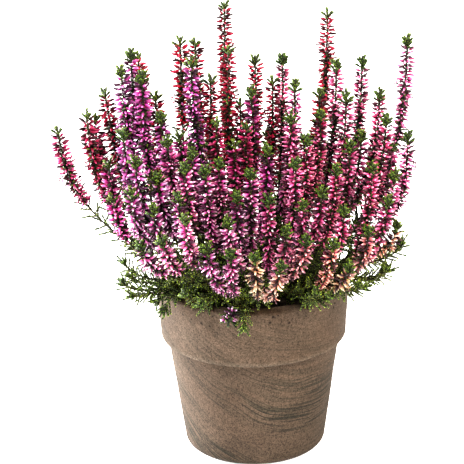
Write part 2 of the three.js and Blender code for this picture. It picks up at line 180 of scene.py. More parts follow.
def leaf_tips():
    """The ends of the leafy shoots: the front ones as set out, and those at the back on an arc."""
    angles = [math.radians(BACK_LEAF_FIRST + BACK_LEAF_STEP * i) for i in range(BACK_LEAF_COUNT)]
    reach = BACK_LEAF_REACH
    return FRONT_LEAF_TIPS + [(reach * math.cos(a), reach * math.sin(a), BACK_LEAF_HEIGHT) for a in angles]


def gather_sprays(tips):
    """Shoots of one variety that stand close together share a stem: the first is its leader."""
    free = [True] * len(tips)
    sprays = []
    for leader, (variety, x, y, _) in enumerate(tips):
        if not free[leader]:
            continue
        free[leader] = False
        away = [math.hypot(tip[1] - x, tip[2] - y) for tip in tips]
        same = [i for i, tip in enumerate(tips) if free[i] and tip[0] == variety]
        near = [i for i in same if away[i] < REACH_WITH_KIN]
        kin = sorted(near, key=lambda i: away[i])[:KIN_MOST]
        for i in kin:
            free[i] = False
        sprays.append({"variety": variety, "tips": [tips[i][1:] for i in [leader] + kin]})
    return sprays


def leafy_sprays():
    """Each leafy shoot forks in two, side by side and one a little higher."""
    sprays = []
    half = LEAF_FORK / 2
    for x, y, z in leaf_tips():
        angle = math.atan2(y, x) + math.pi / 2
        dx = half * math.cos(angle)
        dy = half * math.sin(angle)
        sprays.append({"variety": "leafy", "tips": [(x + dx, y + dy, z), (x - dx, y - dy, z + half)]})
    return sprays


def settle_bases(sprays):
    """The stems' places in the soil: towards their tips, and then pushed apart."""
    for spray in sprays:
        x = sum(tip[0] for tip in spray["tips"]) / len(spray["tips"])
        y = sum(tip[1] for tip in spray["tips"]) / len(spray["tips"])
        radius = min(BASE_CIRCLE, BASE_TOWARDS_TIP * math.hypot(x, y))
        angle = math.atan2(y, x)
        spray["base"] = [radius * math.cos(angle), radius * math.sin(angle)]
    bases = [spray["base"] for spray in sprays]
    for _ in range(BASE_ROUNDS):
        for i, a in enumerate(bases):
            for b in bases[i + 1:]:
                dx = a[0] - b[0]
                dy = a[1] - b[1]
                away = math.hypot(dx, dy)
                if away >= BASE_SPACING:
                    continue
                push = 0.5 * (BASE_SPACING - away) / max(away, NEAREST_BASES)
                a[0] += dx * push
                a[1] += dy * push
                b[0] -= dx * push
                b[1] -= dy * push
        for base in bases:
            out = math.hypot(base[0], base[1]) / BASE_CIRCLE
            if out > 1:
                base[0] /= out
                base[1] /= out


def axis_to(root, start, tip):
    """A shoot's axis: straight up from its root to its start, then outward first and up last."""
    power = OUTWARD_POWER + OUTWARD_PER_MILLIMETRE * max(tip[0], 0)
    s = np.arange(1, AXIS_POINTS - HELD_POINTS + 1) / (AXIS_POINTS - HELD_POINTS)
    outward = 1 - (1 - s) ** power
    shares = np.stack([outward, outward, s], axis=1)
    run = np.array(start) + (np.array(tip, float) - start) * shares
    return np.vstack([root, start, run])


def make_axes(sprays):
    """One axis for each shoot, with the number of its spray and of the shoot that it leaves."""
    axes, spray_of, leader_of = [], [], []
    for number, spray in enumerate(sprays):
        for rank, tip in enumerate(spray["tips"]):
            if rank == 0:
                leader = len(axes)
                root = (*spray["base"], SOIL_TOP - SEAT_DEPTH + CLEARANCE)
                start = (*spray["base"], SOIL_TOP + STEM_RISE)
            else:
                root = axes[leader][FORK_POINT - 1]
                start = axes[leader][FORK_POINT]
            axes.append(axis_to(root, start, tip))
            spray_of.append(number)
            leader_of.append(leader if rank else -1)
    return np.array(axes), np.array(spray_of), np.array(leader_of)


def lengths_along(points):
    """How far along its axis each point is."""
    steps = np.linalg.norm(np.diff(points, axis=-2), axis=-1)
    zero = np.zeros(steps.shape[:-1] + (1,))
    return np.concatenate([zero, np.cumsum(steps, axis=-1)], axis=-1)


def bloom_length(length, tip_height):
    """How much of a shoot is in bud, by its length and the height of its tip."""
    by_height = np.minimum(BLOOM_MOST, BLOOM_SHARE * (tip_height - SOIL_TOP))
    return np.minimum(by_height, BLOOM_SHARE_OF_AXIS * length - TIP_LENGTH)


def room_along(axes, leafy):
    """The room that each shoot takes up at each point of its axis."""
    at = lengths_along(axes)
    whole = at[:, -1:]
    bloom_foot = whole - TIP_LENGTH - bloom_length(whole, axes[:, -1:, 2])
    flowering = np.where(at <= whole - TIP_LENGTH + BUDS_INTO_TIP, BUD_REACH, TIP_REACH)
    room = np.where(at < bloom_foot - BUDS_UNDER_BLOOM, STEM_ROOM, flowering)
    return np.where(leafy[:, None], LEAF_REACH, room)


def near_pairs(axes, spray_of):
    """Pairs of axis points of different shoots that may come to push each other."""
    shoot = np.repeat(np.arange(len(axes)), AXIS_POINTS)
    step = np.tile(np.arange(AXIS_POINTS), len(axes))
    points = axes.reshape(-1, 3)
    first, second = [], []
    for i in range(len(axes) - 1):
        rows = slice(i * AXIS_POINTS, (i + 1) * AXIS_POINTS)
        rest = slice((i + 1) * AXIS_POINTS, len(points))
        away = np.linalg.norm(points[rows, None] - points[None, rest], axis=2)
        a, b = np.nonzero(away < 2 * BUD_REACH + AIR + PAIRS_MARGIN)
        first.append(a + i * AXIS_POINTS)
        second.append(b + (i + 1) * AXIS_POINTS)
    a = np.concatenate(first)
    b = np.concatenate(second)
    least = np.where(spray_of[shoot[a]] == spray_of[shoot[b]], KIN_APART_FROM, HELD_POINTS)
    kept = (step[a] >= least) & (step[b] >= least)
    return a[kept], b[kept]


def pushes(axes, room, a, b):
    """How far each point is pushed sideways by the points of other shoots that it is too close to."""
    points = axes.reshape(-1, 3)
    need = room.reshape(-1)[a] + room.reshape(-1)[b] + AIR
    apart = points[a] - points[b]
    away = np.linalg.norm(apart, axis=1)
    level = np.maximum(np.hypot(apart[:, 0], apart[:, 1]), LEAST_LEVEL)
    push = np.where(away < need, PUSH_SHARE * (need - away) / level, 0)[:, None] * apart[:, :2]
    moves = np.zeros((len(points), 2))
    np.add.at(moves, a, push)
    np.subtract.at(moves, b, push)
    return moves.reshape(len(axes), AXIS_POINTS, 2)


def move_shoots(axes, moves, leader_of):
    """One round: apart, over the rim, straighter, and each side shoot back on its leader."""
    held = HELD_POINTS
    free = moves[:, held:]
    before = np.concatenate([free[:, :1], free[:, :-1]], axis=1)
    after = np.concatenate([free[:, 1:], free[:, -1:]], axis=1)
    axes[:, held:, :2] += np.clip(0.25 * before + 0.5 * free + 0.25 * after, -MOVE_MOST, MOVE_MOST)
    run = axes[:, held:]
    out = np.hypot(run[..., 0], run[..., 1])
    height = run[..., 2]
    by_rim = (out > RIM_ZONE_INSIDE) & (out < RIM_ZONE_OUTSIDE) & (height < RIM_CROSSING_HEIGHT)
    low = by_rim & ((out < RIM_TOP_OUTSIDE) | (height > RIM_SIDE_TOP))
    height += np.where(low, LIFT_SHARE * (RIM_CROSSING_HEIGHT - height), 0)
    for k in range(held + 1, AXIS_POINTS - 1):
        axes[:, k] += STIFFNESS * (0.5 * (axes[:, k - 1] + axes[:, k + 1]) - axes[:, k])
    sides = np.nonzero(leader_of >= 0)[0]
    axes[sides, 0] = axes[leader_of[sides], FORK_POINT - 1]
    axes[sides, 1] = axes[leader_of[sides], FORK_POINT]


def bend_clear(axes, spray_of, leader_of, leafy):
    """Bends the shoots clear of each other and of the pot's rim, keeping each one smooth."""
    listed_at = None
    for _ in range(SETTLE_ROUNDS):
        if listed_at is None or np.abs(axes - listed_at).max() > PAIRS_MARGIN / 4:
            a, b = near_pairs(axes, spray_of)
            listed_at = axes.copy()
        room = room_along(axes, leafy)
        move_shoots(axes, pushes(axes, room, a, b), leader_of)


def lay_out():
    """All sprays and leafy shoots, each with its shoots' axes."""
    sprays = gather_sprays(FRONT_TIPS + back_tips()) + leafy_sprays()
    settle_bases(sprays)
    axes, spray_of, leader_of = make_axes(sprays)
    leafy = np.array([sprays[number]["variety"] == "leafy" for number in spray_of])
    bend_clear(axes, spray_of, leader_of, leafy)
    for number, spray in enumerate(sprays):
        spray["axes"] = axes[spray_of == number]
    return sprays


# ---- What grows on each shoot, in millimetres and degrees. A table gives a place and a value. ----
AXIS_STEP = 3
SMOOTHING_ROUNDS = 2
STEM_FOOT_GIRTH = 0.95
STEM_TIP_GIRTH = 0.48
BARE_FOOT = 16
SIDE_BARE_FOOT = 4
TIP_FOOT_LOWER = 1
TRIMMED_AT_MOST = 0.22
BLOOM_OVERLAP = 3.5
BLOOM_OVERLAP_UNDER_SHORT_TIP = 6.5
BUD_SPACING_OF = {"crimson": 0.55, "violet": 0.555, "rose": 0.555, "leafy": 0.6}
SWELL_OF_BLOOM = [(0, 0.76), (0.12, 0.88), (0.5, 0.94), (0.92, 1.06), (1, 1.02)]
LEAN_OF_BLOOM = [(0, 97), (0.5, 90), (0.88, 82), (1, 82)]
LEAN_VARIES = 0.24
TIP_FAN_FROM = 7
TIP_FAN_TO = 5
LONG_TIPPED = ("violet", "rose")
LONG_TIP_FAN_FROM = 10
LEAN_OF_TIP = [(0, 82), (0.385, 68), (0.615, 38), (0.85, 8), (1, 4)]
LEAN_OF_LONG_TIP = [(0, 82), (0.385, 46), (0.615, 31), (0.85, 8), (1, 4)]
LEAN_OF_FOLIAGE = 48
LEAN_OF_LEAFY_END = [(0, 8), (6, 28), (12, LEAN_OF_FOLIAGE)]
# One leafy shoot in front has a few buds at its end.
BUDDED_TIP = (-14, -92)
BUDDED_LENGTH = 16
BUDDED_SWELL = 0.95
BUDDED_LEAN = 80
# Side shoots grow on this share of the bloom.
BRANCH_FROM = 0.04
BRANCH_TO = 0.74
# Shoots that end further left than this have shorter and fuller blooms, the more the further out.
LEFT_FROM = 25
LEFT_OVER = 35
TRIMMED_ON_LEFT = 0.3
FULLER_ON_LEFT = 0.12
# Shoots that end further right than this flower lower down, and fade only low in front.
RIGHT_FROM = 8
NO_FLOWERS_BELOW = 157
NO_CREAM_BELOW = 143
FADED_BELOW = 222
FADED_OVER = 34
BLUSHED_BELOW = 285
BLUSHED_OVER = 40


def evenly_spaced(axis, step):
    """Points along a smoothed axis, a step apart."""
    points = axis.copy()
    for _ in range(SMOOTHING_ROUNDS):
        points[2:-1] = 0.5 * points[2:-1] + 0.25 * (points[1:-2] + points[3:])
    at = lengths_along(points)
    count = max(int(round(at[-1] / step)), 2)
    marks = np.linspace(0, at[-1], count + 1)
    return np.stack([np.interp(marks, at, points[:, k]) for k in range(3)], axis=1), marks


def table_value(table, at):
    return np.interp(at, [row[0] for row in table], [row[1] for row in table])


def fade_of(tip):
    """How far a shoot's buds have faded: at the right only low in front, elsewhere by height alone."""
    x, y, z = tip
    if x > RIGHT_FROM:
        return np.clip((FADED_BELOW - z) / FADED_OVER, 0, 1) * (y < 0)
    return np.clip((BLUSHED_BELOW - z) / BLUSHED_OVER, 0, 1)


def lean_in_bloom(share, hue):
    """How far the buds lean out, by their share of the way up the bloom; a little more on some shoots."""
    return table_value(LEAN_OF_BLOOM, share) * (1 + LEAN_VARIES * (0.5 - hue))


def lean_in_tip(above_foot, long_tipped):
    """How far the twigs of a shoot's end lean out: less and less towards the tip."""
    return table_value(LEAN_OF_LONG_TIP if long_tipped else LEAN_OF_TIP, above_foot / TIP_LENGTH)


def shoot_rows(axis, variety, is_side, hue):
    """The points of one shoot, and at each point what grows there and how."""
    leafy = variety == "leafy"
    long_tipped = variety in LONG_TIPPED
    tip = axis[-1]
    points, at = evenly_spaced(axis, AXIS_STEP)
    whole = at[-1]
    foot = SIDE_BARE_FOOT if is_side else BARE_FOOT
    tip_foot = whole - TIP_LENGTH - TIP_FOOT_LOWER
    on_left = np.clip((-tip[0] - LEFT_FROM) / LEFT_OVER, 0, 1)
    bloom = 0 if leafy else float(bloom_length(whole, tip[2]))
    bloom *= 1 - TRIMMED_AT_MOST * hue - TRIMMED_ON_LEFT * on_left
    overlap = BLOOM_OVERLAP if long_tipped else BLOOM_OVERLAP_UNDER_SHORT_TIP
    bloom_foot = tip_foot - bloom + overlap - BLOOM_OVERLAP
    lowest = NO_CREAM_BELOW if tip[0] > RIGHT_FROM else NO_FLOWERS_BELOW
    flowering = (at > bloom_foot) & (at <= tip_foot + overlap) & (points[:, 2] > lowest) & (not leafy)
    share = np.clip((at - bloom_foot) / max(bloom, 1), 0, 1)
    swell = BUDDED_SWELL if leafy else table_value(SWELL_OF_BLOOM, share) * (1 + FULLER_ON_LEFT * on_left)
    if leafy:
        foliage = (at > foot) & (at < whole - TIP_FAN_TO)
        lean = table_value(LEAN_OF_LEAFY_END, whole - at)
    else:
        foliage = (at > foot) & (at < tip_foot) & ~flowering
        lean = np.where(flowering, lean_in_bloom(share, hue), LEAN_OF_FOLIAGE)
        lean = np.where(at > tip_foot, lean_in_tip(at - tip_foot, long_tipped), lean)
    if leafy and is_side and math.dist(tip[:2], BUDDED_TIP) < LEAF_FORK:
        flowering = (at > whole - BUDDED_LENGTH) & (at < whole - TIP_FAN_TO)
        share = np.where(flowering, 0.5, 0)
        lean = np.where(flowering, BUDDED_LEAN, lean)
    fan_from = whole - (LONG_TIP_FAN_FROM if long_tipped else TIP_FAN_FROM) - AXIS_STEP / 2
    return points * MM, {
        "flowering": flowering,
        "tip": (at > fan_from) & (at < whole - TIP_FAN_TO + AXIS_STEP / 2),
        "branching": flowering & (share > BRANCH_FROM) & (share < BRANCH_TO),
        "foliage": foliage,
        "clad": flowering | (at > tip_foot),
        "lean": np.radians(lean),
        "swell": np.where(flowering, swell, 1),
        "girth": (STEM_FOOT_GIRTH + (STEM_TIP_GIRTH - STEM_FOOT_GIRTH) * at / whole) * MM,
        "fade": np.full(len(at), fade_of(tip)),
        "hue": np.full(len(at), hue),
    }


def shoots_mesh(name, spray, hues):
    """A plain mesh of one open line for each shoot of a spray."""
    rows = []
    for rank, axis in enumerate(spray["axes"]):
        rows.append(shoot_rows(axis, spray["variety"], rank > 0, next(hues)))
    verts = np.concatenate([points for points, _ in rows])
    edges = []
    start = 0
    for points, _ in rows:
        edges += [(start + i, start + i + 1) for i in range(len(points) - 1)]
        start += len(points)
    mesh = bpy.data.meshes.new(name)
    mesh.from_pydata(verts.tolist(), edges, [])
    for key in rows[0][1]:
        values = np.concatenate([grown[key] for _, grown in rows]).astype(np.float32)
        mesh.attributes.new(key, "FLOAT", "POINT").data.foreach_set("value", values)
    return mesh


# ---- Trees of nodes ----
class NodeTree:
    """A tree that is put together one node at a time."""

    def __init__(self, tree):
        self.nodes = tree.nodes
        self.links = tree.links

    def add(self, kind, inputs=None, **settings):
        """Adds a node and returns its first output. Inputs go by the socket's name or number."""
        node = self.nodes.new(kind)
        for key, value in settings.items():
            setattr(node, key, value)
        enabled = [socket for socket in node.inputs if socket.enabled]
        for key, value in (inputs or {}).items():
            socket = enabled[key] if isinstance(key, int) else next(s for s in enabled if s.name == key)
            if isinstance(value, bpy.types.NodeSocket):
                self.links.new(value, socket)
            else:
                socket.default_value = value
        return next(socket for socket in node.outputs if socket.enabled)

    def math(self, operation, *values):
        return self.add("ShaderNodeMath", dict(enumerate(values)), operation=operation)


class Growth(NodeTree):
    """A tree of Geometry Nodes that dresses lines with what grows on them."""

    def __init__(self, name):
        self.group = bpy.data.node_groups.new(name, "GeometryNodeTree")
        super().__init__(self.group)
        self.group.is_modifier = True
        for way in ("INPUT", "OUTPUT"):
            self.group.interface.new_socket("Geometry", in_out=way, socket_type="NodeSocketGeometry")
        self.given = self.nodes.new("NodeGroupInput")
        self.result = self.nodes.new("NodeGroupOutput")

    def take(self, name, value=None, kind="Float"):
        """A named input of the tree, with the value that it has unless a piece sets another."""
        item = self.group.interface.new_socket(name, in_out="INPUT", socket_type="NodeSocket" + kind)
        if value is not None:
            item.default_value = value
        return self.given.outputs[name]

    def attribute(self, name):
        return self.add("GeometryNodeInputNamedAttribute", {"Name": name}, data_type="FLOAT")

    def store(self, geometry, name, value, domain="POINT"):
        given = {"Geometry": geometry, "Name": name, "Value": value}
        return self.add("GeometryNodeStoreNamedAttribute", given, data_type="FLOAT", domain=domain)

    def random(self, low, high, seed, lot=0):
        """A random number for each element; each lot of numbers from one seed is another."""
        drawn = self.math("ADD", seed, float(lot))
        given = {"Min": low, "Max": high, "Seed": drawn}
        return self.add("FunctionNodeRandomValue", given, data_type="FLOAT")

    def rotate(self, rotation, axis, angle):
        """The rotation turned further, about an axis of its own."""
        further = self.add("FunctionNodeAxisAngleToRotation", {"Axis": axis, "Angle": angle})
        given = {"Rotation": rotation, "Rotate By": further}
        return self.add("FunctionNodeRotateRotation", given, rotation_space="LOCAL")

    def join(self, *parts):
        joined = self.nodes.new("GeometryNodeJoinGeometry")
        for part in parts:
            self.links.new(part, joined.inputs[0])
        return joined.outputs[0]

    def finish(self, geometry):
        """Makes all that has grown one real mesh, the result of the tree."""
        real = self.add("GeometryNodeRealizeInstances", {"Geometry": geometry})
        self.links.new(real, self.result.inputs[0])


# ---- Buds, twigs and foliage along the shoots, in millimetres; leans and turns are in radians ----
TURN_VARIES = 0.35
SIZE_VARIES = (0.84, 1.14)
GOLDEN_TURN = 2.4
BUD_TURN = 1.745
STEM_SIDES = 6
BUD_SHAPE = [(0, 0), (0.25, 0.4), (0.5, 1.0), (0.75, 0.88), (1, 0)]
BUD_RING_PLACES = [(0, 0), (0.25, 0.2), (0.5, 0.46), (0.75, 0.84), (1, 1)]
PLAIN_BUD_SHAPE = [(0, 0), (0.333, 0.6), (0.667, 1.08), (1, 0)]
PLAIN_BUD_RING_PLACES = [(0, 0), (0.333, 0.34), (0.667, 0.74), (1, 1)]
TWIG_SHAPE = [(0, 0.9), (0.5, 0.8), (1, 0)]
TWIG_POINTS = 9
TWIG_LEANS = (0.75, 0.4)
TWIG_SEED = 40.0
LEAF_SHAPE = [(0, 1.0), (0.5, 0.5), (1, 0)]
SIDE_SHOOT_POINTS = 6
SIDE_SHOOT_LEANS = (1.35, 0.7)
SIDE_SHOOT_SEED = 60.0
SEED_STEP = 10.0


def along_curve(tree, points):
    """A number that runs along a curve through the points given, from 0 to 1 both ways."""
    factor = tree.add("GeometryNodeSplineParameter")
    value = tree.add("ShaderNodeFloatCurve", {"Value": factor})
    mapping = value.node.mapping
    curve = mapping.curves[0]
    for at, radius in points[1:-1]:
        curve.points.new(at, radius)
    curve.points[0].location = points[0]
    curve.points[len(points) - 1].location = points[-1]
    for point in curve.points:
        point.handle_type = "VECTOR"
    mapping.update()
    return value


def upright_line(tree, length, points):
    """A straight line along Z, and a number that goes from 0 to 1 along it."""
    end = tree.add("ShaderNodeCombineXYZ", {"Z": length})
    line = tree.add("GeometryNodeCurvePrimitiveLine", {"End": end})
    line = tree.add("GeometryNodeResampleCurve", {"Curve": line, "Count": points})
    return line, tree.add("GeometryNodeSplineParameter")


def swept(tree, line, sides, radius):
    """A closed rod along a line."""
    ring = tree.add("GeometryNodeCurvePrimitiveCircle", {"Resolution": sides, "Radius": 1.0})
    given = {"Curve": line, "Profile Curve": ring, "Scale": radius, "Fill Caps": True}
    return tree.add("GeometryNodeCurveToMesh", given)


def tapered_rod(tree, length, girth, shape, rings, sides, finish, ring_places=None):
    """A rod along Z whose radius follows a shape; its length is stored on it as the attribute along."""
    line, factor = upright_line(tree, length, rings)
    line = tree.store(line, "along", factor)
    if ring_places:
        height = tree.math("MULTIPLY", along_curve(tree, ring_places), length)
        place = tree.add("ShaderNodeCombineXYZ", {"Z": height})
        line = tree.add("GeometryNodeSetPosition", {"Geometry": line, "Position": place})
    rod = swept(tree, line, sides, tree.math("MULTIPLY", along_curve(tree, shape), girth))
    rod = tree.add("GeometryNodeMergeByDistance", {"Geometry": rod, "Distance": 0.01 * MM})
    rod = tree.add("GeometryNodeSetShadeSmooth", {"Geometry": rod, "Shade Smooth": True})
    return tree.add("GeometryNodeSetMaterial", {"Geometry": rod, "Material": finish})


def scattered(tree, curve, where, shape, spacing, turn, size, seed, sway=0.2, lean_share=1.0):
    """One shape for each spacing along the curve, where the attribute says so, leaning as lean says."""
    points = tree.add("GeometryNodeCurveToPoints", {"Curve": curve, "Length": spacing}, mode="LENGTH")
    upright = points.node.outputs["Rotation"]
    left_out = tree.math("LESS_THAN", tree.attribute(where), 0.5)
    given = {"Geometry": points, "Selection": left_out}
    kept = tree.add("GeometryNodeDeleteGeometry", given, domain="POINT")
    turn = tree.math("MULTIPLY", tree.add("GeometryNodeInputIndex"), turn)
    turn = tree.math("ADD", turn, tree.random(-TURN_VARIES, TURN_VARIES, seed))
    swayed = tree.random(lean_share - sway, lean_share + sway, seed, 1)
    lean = tree.math("MULTIPLY", tree.attribute("lean"), swayed)
    rotation = tree.rotate(tree.rotate(upright, (0, 0, 1), turn), (1, 0, 0), lean)
    size = tree.math("MULTIPLY", size, tree.attribute("swell"))
    size = tree.math("MULTIPLY", tree.random(*SIZE_VARIES, seed, 2), size)
    given = {"Points": kept, "Instance": shape, "Rotation": rotation, "Scale": size}
    placed = tree.add("GeometryNodeInstanceOnPoints", given)
    return tree.store(placed, "shade", tree.random(0.0, 1.0, seed, 3), "INSTANCE")


def bud(tree):
    """A bud in full, and a plainer one for the small buds of the side shoots."""
    length = tree.take("Bud length", 6.7 * MM)
    girth = tree.take("Bud girth", 1.1 * MM)
    finish = tree.take("Bud finish", kind="Material")
    full = tapered_rod(tree, length, girth, BUD_SHAPE, 5, 5, finish, BUD_RING_PLACES)
    plain = tapered_rod(tree, length, girth, PLAIN_BUD_SHAPE, 4, 4, finish, PLAIN_BUD_RING_PLACES)
    return full, plain


def straight_shoot(tree, length, points, leans, foot_swell=1.0):
    """A line along Z on which something grows everywhere, leaning less and less towards the end."""
    line, factor = upright_line(tree, length, points)
    foot_lean, end_lean = leans
    line = tree.store(line, "lean", tree.math("MULTIPLY_ADD", factor, end_lean - foot_lean, foot_lean))
    line = tree.store(line, "swell", tree.math("MULTIPLY_ADD", factor, 1 - foot_swell, foot_swell))
    return tree.store(line, "everywhere", 1.0)


def pointed_rod(tree, name, shape, length, girth, finish):
    """A plain three-sided rod that ends in a point, and its length. Both its sizes are named inputs."""
    length = tree.take(name + " length", length * MM)
    girth = tree.take(name + " girth", girth * MM)
    return tapered_rod(tree, length, girth, shape, 2, 3, finish), length


def leafy_twig(tree, name, leaf, finish, length, girth, spacing, size, foot_swell):
    """A twig of heather: a thin stalk in four rows of small scale leaves."""
    stalk, length = pointed_rod(tree, name, TWIG_SHAPE, length, girth, finish)
    spacing = tree.take(name + " leaf spacing", spacing * MM)
    size = tree.take(name + " leaf size", size)
    line = straight_shoot(tree, length, TWIG_POINTS, TWIG_LEANS, foot_swell)
    leaves = scattered(tree, line, "everywhere", leaf, spacing, math.pi / 2, size, TWIG_SEED)
    return tree.add("GeometryNodeRealizeInstances", {"Geometry": tree.join(stalk, leaves)})


def side_shoot(tree, bud_shape, bud_turn, finish):
    """A short side shoot of a flowering spike, with buds all along it."""
    stalk, length = pointed_rod(tree, "Side shoot", TWIG_SHAPE, 10, 0.55, finish)
    spacing = tree.take("Side bud spacing", 0.75 * MM)
    size = tree.take("Side bud size", 0.72)
    line = straight_shoot(tree, length, SIDE_SHOOT_POINTS, SIDE_SHOOT_LEANS)
    buds = scattered(tree, line, "everywhere", bud_shape, spacing, bud_turn, size, SIDE_SHOOT_SEED)
    return tree.add("GeometryNodeRealizeInstances", {"Geometry": tree.join(stalk, buds)})


def heather_growth():
    """The tree that dresses the shoots of one spray."""
    tree = Growth("heather_growth")
    lines = tree.given.outputs["Geometry"]
    seed = tree.take("Seed", SEED, "Int")
    stem_finish = tree.take("Stem finish", kind="Material")
    leaf_finish = tree.take("Leaf finish", kind="Material")
    bud_turn = tree.take("Bud turn", BUD_TURN)
    leaf = pointed_rod(tree, "Scale leaf", LEAF_SHAPE, 2.0, 0.82, leaf_finish)[0]
    long_leaf = pointed_rod(tree, "Long leaf", LEAF_SHAPE, 5.6, 1.5, leaf_finish)[0]
    tip_twig = leafy_twig(tree, "Tip twig", leaf, leaf_finish, 4.9, 0.85, 0.38, 1.28, 0.55)
    twig = leafy_twig(tree, "Twig", leaf, leaf_finish, 8.0, 0.5, 0.46, 0.8, 1.0)
    full_bud, plain_bud = bud(tree)
    side = side_shoot(tree, plain_bud, bud_turn, stem_finish)
    curve = tree.add("GeometryNodeMeshToCurve", {"Mesh": lines})
    stem = swept(tree, curve, STEM_SIDES, tree.attribute("girth"))
    stem = tree.add("GeometryNodeSetMaterial", {"Geometry": stem, "Material": stem_finish})
    growths = [
        # name, where it grows, shape, spacing, turn, size, number of its seed, sway, share of the lean
        ("Bud", "flowering", full_bud, 0.6, bud_turn, 1.0, 0, 0.2, 1.0),
        ("Side shoot", "branching", side, 9, GOLDEN_TURN, 1.0, 4, 0.1, 0.44),
        ("Stem leaf", "clad", leaf, 0.75, GOLDEN_TURN, 1.05, 5, 0.15, 0.55),
        ("Long leaf", "branching", long_leaf, 0.7, GOLDEN_TURN, 1.0, 3, 0.2, 0.62),
        ("Tip", "tip", tip_twig, 0.5, GOLDEN_TURN, 1.1, 1, 0.2, 1.0),
        ("Sprig", "branching", twig, 9.5, GOLDEN_TURN, 1.0, 2, 0.3, 0.6),
        ("Foliage", "foliage", twig, 2.3, GOLDEN_TURN, 1.25, 3, 0.4, 1.0),
    ]
    parts = [stem]
    for name, where, shape, spacing, turn, size, number, sway, lean_share in growths:
        spacing = tree.take(name + " spacing", spacing * MM)
        size = tree.take(name + " size", size)
        own_seed = tree.math("ADD", seed, SEED_STEP * number)
        parts.append(scattered(tree, curve, where, shape, spacing, turn, size, own_seed, sway, lean_share))
    tree.finish(tree.join(*parts))
    return tree.group


def grown(name, mesh, group, settings):
    """Runs a tree on a mesh and returns the result as a plain object."""
    obj = bpy.data.objects.new(name, mesh)
    bpy.context.scene.collection.objects.link(obj)
    modifier = obj.modifiers.new("growth", "NODES")
    modifier.node_group = group
    inputs = {item.name: item.identifier for item in group.interface.items_tree if item.in_out == "INPUT"}
    for key, value in settings.items():
        modifier[inputs[key]] = value
    depsgraph = bpy.context.evaluated_depsgraph_get()
    result = bpy.data.meshes.new_from_object(obj.evaluated_get(depsgraph), preserve_all_data_layers=True,
                                             depsgraph=depsgraph)
    obj.modifiers.clear()
    obj.data = result
    result.name = name
    return obj


# ---- Finishes. A stop of a ramp is a place and a colour, or one number for a grey. ----
class Finish(NodeTree):
    """A material that is put together one node at a time."""

    def __init__(self, name, **surface):
        self.material = bpy.data.materials.new(name)
        self.material.use_nodes = True
        super().__init__(self.material.node_tree)
        self.shader = self.nodes["Principled BSDF"]
        self.shader.inputs["Emission Color"].default_value = (1, 1, 1, 1)
        for key, value in surface.items():
            self.shader.inputs[key.replace("_", " ")].default_value = value

    def place(self, scale=(1, 1, 1), where=None):
        """A place in a pattern: the place on the piece, or another one, times a scale."""
        where = where or self.nodes.new("ShaderNodeTexCoord").outputs["Object"]
        return self.add("ShaderNodeMapping", {"Vector": where, "Scale": scale})

    def axes(self, where):
        return self.add("ShaderNodeSeparateXYZ", {"Vector": where}).node.outputs

    def noise(self, scale, detail=4.0, where=None):
        given = {"Vector": where or self.place(), "Scale": scale, "Detail": detail}
        return self.add("ShaderNodeTexNoise", given)

    def attribute(self, name):
        node = self.nodes.new("ShaderNodeAttribute")
        node.attribute_name = name
        return node.outputs["Fac"]

    def ramp(self, value, stops):
        node = self.nodes.new("ShaderNodeValToRGB")
        elements = node.color_ramp.elements
        while len(elements) < len(stops):
            elements.new(0.5)
        for element, (at, colour) in zip(elements, stops):
            element.position = at
            element.color = (*colour, 1) if isinstance(colour, tuple) else (colour, colour, colour, 1)
        self.links.new(value, node.inputs["Fac"])
        return node.outputs["Color"]

    def mix(self, factor, a, b, blend="MIX"):
        pair = {}
        for key, value in ((1, a), (2, b)):
            pair[key] = value if isinstance(value, bpy.types.NodeSocket) else (*value, 1)
        return self.add("ShaderNodeMix", {0: factor, **pair}, data_type="RGBA", blend_type=blend)

    def tinted(self, colour, *tints):
        """The colour multiplied by each tint in turn."""
        for tint in tints:
            colour = self.mix(1.0, colour, tint, "MULTIPLY")
        return colour

    def colour(self, value):
        self.links.new(value, self.shader.inputs["Base Color"])

    def bump(self, height, strength, distance):
        node = self.add("ShaderNodeBump", {"Strength": strength, "Distance": distance, "Height": height})
        self.links.new(node, self.shader.inputs["Normal"])


# The deep foot, the body and the pale end of a bud.
CRIMSON = ((0.12, 0.002, 0.010), (0.27, 0.003, 0.027), (0.40, 0.018, 0.075))
VIOLET = ((0.11, 0.002, 0.05), (0.36, 0.009, 0.20), (0.92, 0.35, 0.72))
PALE_VIOLET = ((0.13, 0.004, 0.055), (0.47, 0.03, 0.26), (1.0, 0.78, 0.92))
ROSE = ((0.12, 0.002, 0.03), (0.39, 0.009, 0.135), (1.0, 0.45, 0.68))
CREAM = ((0.20, 0.03, 0.04), (0.56, 0.27, 0.15), (1.0, 0.95, 0.68))
# Colours along a bud, a leaf or the bark's pattern, painted shade by height, and tints by the chance of
# each one.
# The near-black stalk and deep foot are partly the bud's own dark stalk and calyx, partly painted shade in
# the core of the spike.
BUD_STALK = [(0.0, (0.004, 0.007, 0.002)), (0.12, (0.01, 0.016, 0.004))]
# By the chance of each bud; the darkest lot are partly dull, withered buds and partly painted shade in the
# gaps between the spikes.
BUD_BY_SHADE = [(0.0, 0.05), (0.3, 0.13), (0.45, 0.85), (0.8, 1.15), (1.0, (1.55, 1.5, 1.45))]
BUD_BY_HUE = [(0.0, (0.8, 0.85, 0.9)), (1.0, (1.15, 1.05, 0.95))]
